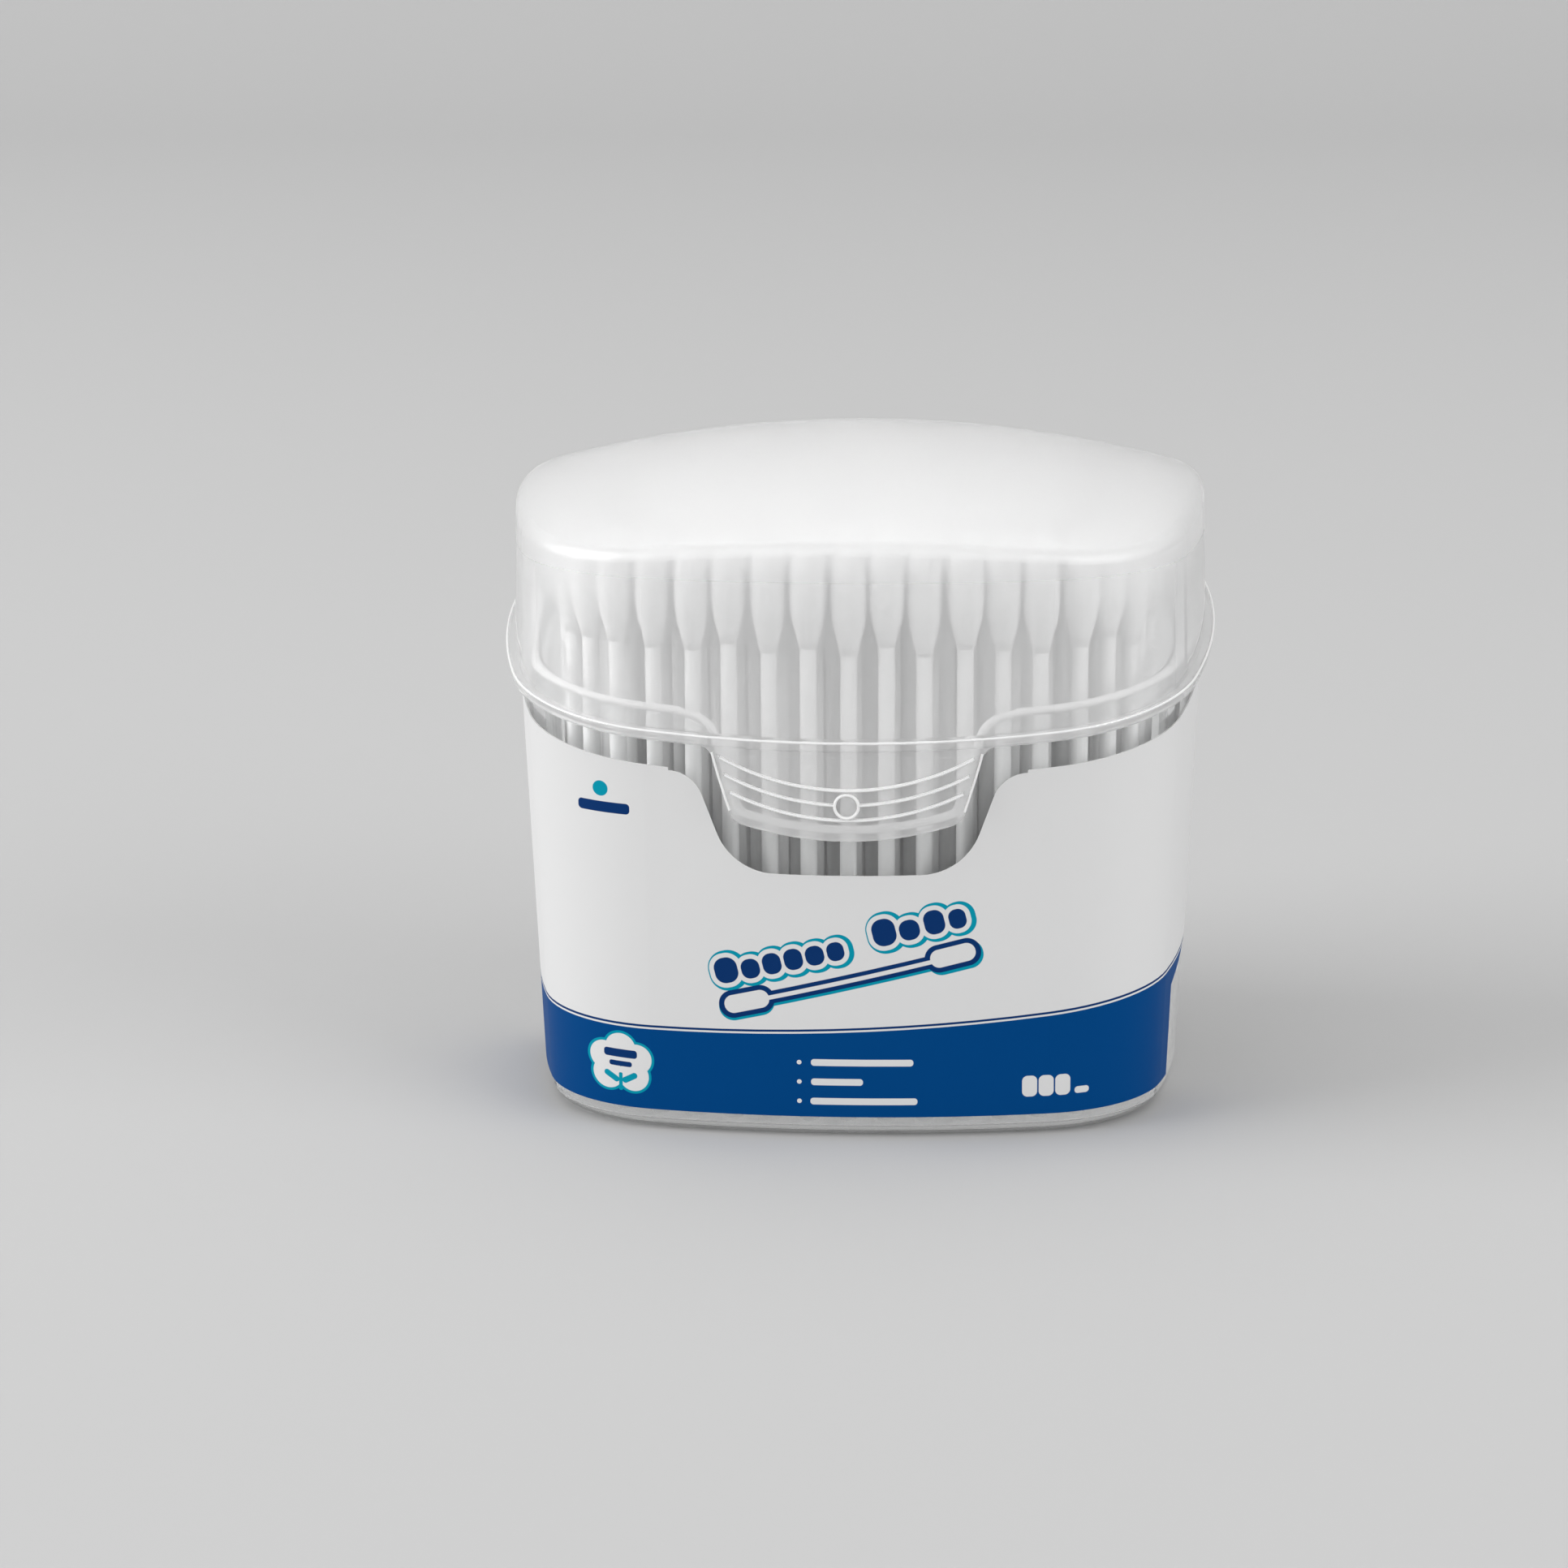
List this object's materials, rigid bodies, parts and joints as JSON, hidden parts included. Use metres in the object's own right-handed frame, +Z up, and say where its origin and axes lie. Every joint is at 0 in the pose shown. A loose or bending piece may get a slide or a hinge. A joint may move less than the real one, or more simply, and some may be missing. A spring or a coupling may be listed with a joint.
{
  "type": "cotton swab box",
  "caption": "Rounded clear plastic tub with a domed frosted lid hinged at the back, a ridged front tongue, a plain printed film label and upright cotton swabs inside",
  "frame": {"origin": "middle of the flat base, on the surface the box stands on", "axes": "+Z up, the front with the label and the tongue faces -Y, +X is across the front"},
  "size_m": [0.0926, 0.0883, 0.0842],
  "materials": {
    "tub": "clear moulded plastic",
    "lid": "frosted moulded plastic",
    "label": "printed film",
    "stick": "rolled paper",
    "tip": "cotton wool"
  },
  "bodies": {
    "tub": {"tub": "tub", "label": "label", "swab_sticks_ring_01": "stick", "swab_sticks_ring_02": "stick", "swab_sticks_row_01": "stick", "swab_sticks_row_02": "stick", "swab_sticks_row_03": "stick", "swab_sticks_row_04": "stick", "swab_sticks_row_05": "stick", "swab_sticks_row_06": "stick", "swab_sticks_row_07": "stick", "swab_sticks_row_08": "stick", "swab_sticks_row_09": "stick", "swab_sticks_row_10": "stick", "swab_sticks_row_11": "stick", "swab_sticks_row_12": "stick", "swab_sticks_row_13": "stick", "swab_tips_ring_01": "tip", "swab_tips_ring_02": "tip", "swab_tips_row_01": "tip", "swab_tips_row_02": "tip", "swab_tips_row_03": "tip", "swab_tips_row_04": "tip", "swab_tips_row_05": "tip", "swab_tips_row_06": "tip", "swab_tips_row_07": "tip", "swab_tips_row_08": "tip", "swab_tips_row_09": "tip", "swab_tips_row_10": "tip", "swab_tips_row_11": "tip", "swab_tips_row_12": "tip", "swab_tips_row_13": "tip"},
    "lid": {"lid": "lid"}
  },
  "joints": [
    {"name": "lid_hinge", "type": "hinge", "parent": "tub", "child": "lid", "pos_m": [0, 0.04397, 0.06324], "axis": [-1, 0, 0], "range_deg": [0, 110]}
  ]
}
